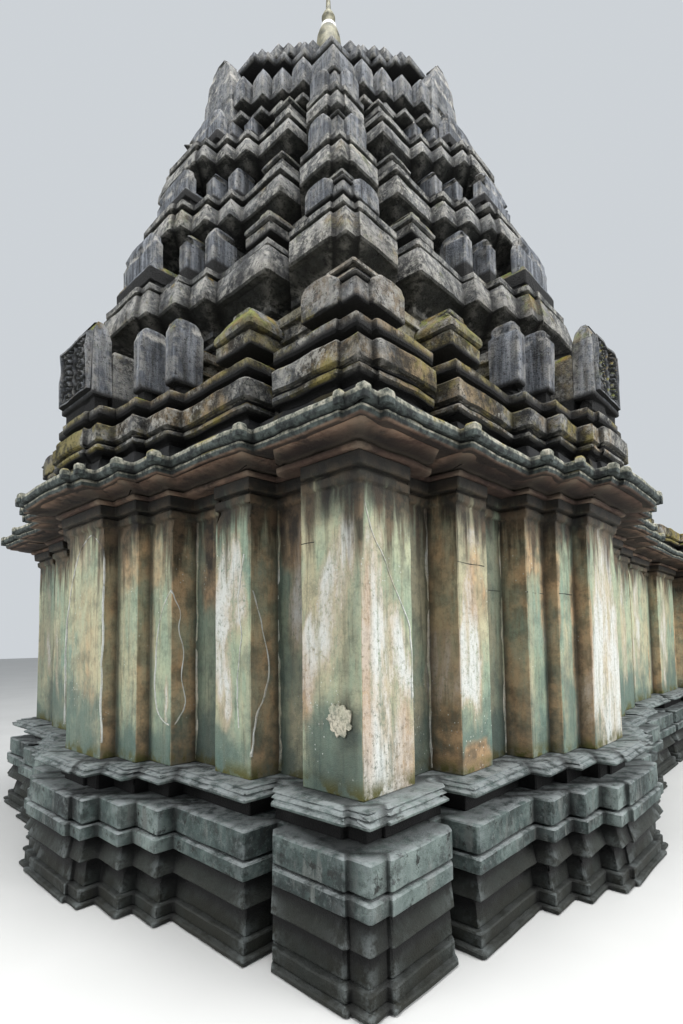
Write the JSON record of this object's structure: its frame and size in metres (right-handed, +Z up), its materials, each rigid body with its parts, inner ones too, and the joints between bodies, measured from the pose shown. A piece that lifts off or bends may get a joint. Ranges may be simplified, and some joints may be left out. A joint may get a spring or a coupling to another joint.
{
  "type": "hindu temple with a stepped stone tower",
  "caption": "Old stone temple with a stepped tower over a square sanctum, a vestibule and a low flat-roofed hall on a moulded plinth, with an open entrance.",
  "frame": {"origin": "on the ground below the centre of the square sanctum", "axes": "+Z up, +X from the tower's rear out through the entrance, +Y to the left when looking along +X"},
  "size_m": [14.368, 7.034, 9.5],
  "materials": {
    "wall_stone": "weathered green soapstone with limewash patches and brown streaks",
    "plinth_stone": "dark slate-grey stone with dusty light tops",
    "eave_stone": "reddish brown stone, darker at the rim",
    "tower_stone": "charcoal stone with pale lichen and ochre moss",
    "finial_metal": "aged, dull greenish yellow"
  },
  "bodies": {
    "root": {"plinth_footing": "plinth_stone", "plinth_foot_band": "plinth_stone", "plinth_bell_course": "plinth_stone", "plinth_lower_band": "plinth_stone", "plinth_upper_band": "plinth_stone", "plinth_top_slab": "plinth_stone", "sanctum_rear_wall": "wall_stone", "sanctum_south_wall": "wall_stone", "sanctum_north_wall": "wall_stone", "sanctum_front_wall_south": "wall_stone", "sanctum_front_wall_north": "wall_stone", "sanctum_door_lintel": "wall_stone", "vestibule_south_wall": "wall_stone", "vestibule_north_wall": "wall_stone", "hall_rear_wall_south": "wall_stone", "hall_rear_wall_north": "wall_stone", "hall_south_wall": "wall_stone", "hall_north_wall": "wall_stone", "hall_front_wall_south": "wall_stone", "hall_front_wall_north": "wall_stone", "vestibule_lintel": "wall_stone", "entrance_lintel": "wall_stone", "entrance_steps": "plinth_stone", "architrave": "eave_stone", "eave": "eave_stone", "lower_roof_blocks": "tower_stone", "upper_roof_blocks": "tower_stone", "storey_1_slab": "tower_stone", "storey_1_roofs": "tower_stone", "storey_2_cornice": "tower_stone", "storey_2_roofs": "tower_stone", "storey_3_cornice": "tower_stone", "storey_3_roofs": "tower_stone", "storey_4_cornice": "tower_stone", "storey_4_roofs": "tower_stone", "crown_lower_slab": "tower_stone", "crown_skirt": "tower_stone", "crown_top_slab": "tower_stone", "crown_dome": "tower_stone", "finial": "finial_metal"}
  },
  "joints": []
}
